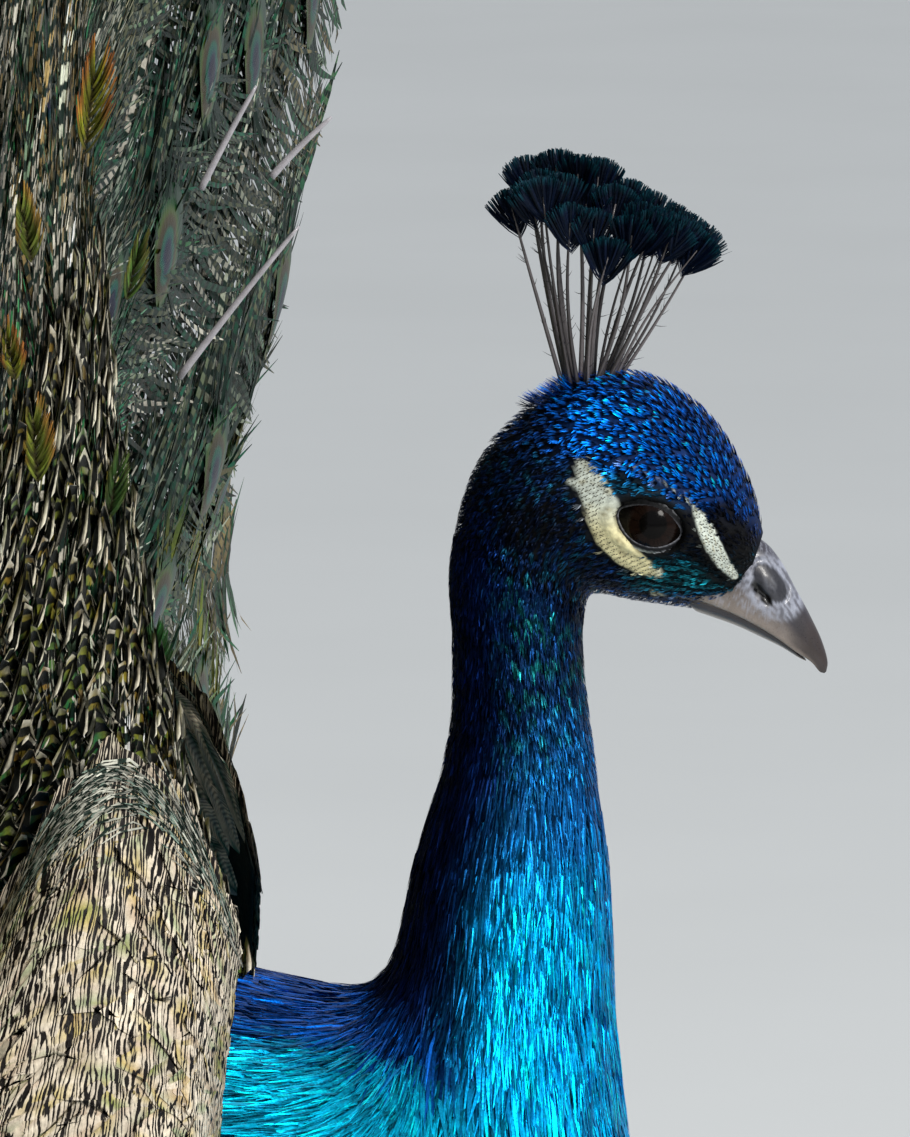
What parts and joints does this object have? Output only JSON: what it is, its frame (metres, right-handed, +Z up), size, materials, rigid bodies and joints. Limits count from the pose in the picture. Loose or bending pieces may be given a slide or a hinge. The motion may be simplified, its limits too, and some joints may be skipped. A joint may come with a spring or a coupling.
{
  "type": "peacock model",
  "caption": "Life-size standing Indian peacock in full display, with its train raised in a fan behind an upright blue neck.",
  "frame": {"origin": "on the floor under the middle of the model's box", "axes": "+X the way the bird faces, +Y to its left, +Z up"},
  "size_m": [0.474, 1.9996, 1.5701],
  "materials": {
    "head_blue": "satin",
    "neck_blue": "satin",
    "breast_blue": "satin",
    "horn": "satin",
    "claw": "satin",
    "eye": "gloss",
    "crest": "satin",
    "wing": "matte",
    "primaries": "matte",
    "thigh": "matte",
    "leg": "matte",
    "train": "satin",
    "back_scales": "satin",
    "tail": "matte"
  },
  "bodies": {
    "root": {"back_scales": "back_scales", "bill_lower": "horn", "bill_upper": "horn", "claw_hind_left": "claw", "claw_hind_right": "claw", "claw_inner_left": "claw", "claw_inner_right": "claw", "claw_middle_left": "claw", "claw_middle_right": "claw", "claw_outer_left": "claw", "claw_outer_right": "claw", "crest": "crest", "eye_left": "eye", "eye_right": "eye", "foot_left": "leg", "foot_right": "leg", "head": "head_blue", "neck_lower": "breast_blue", "neck_upper": "neck_blue", "primaries_left": "primaries", "primaries_right": "primaries", "shank_left": "leg", "shank_right": "leg", "spur_left": "claw", "spur_right": "claw", "tail_fan": "tail", "thigh_left": "thigh", "thigh_right": "thigh", "train_01": "train", "train_02": "train", "train_03": "train", "train_04": "train", "train_05": "train", "train_06": "train", "train_07": "train", "train_08": "train", "train_09": "train", "trunk": "breast_blue", "wing_left": "wing", "wing_right": "wing"}
  },
  "joints": []
}
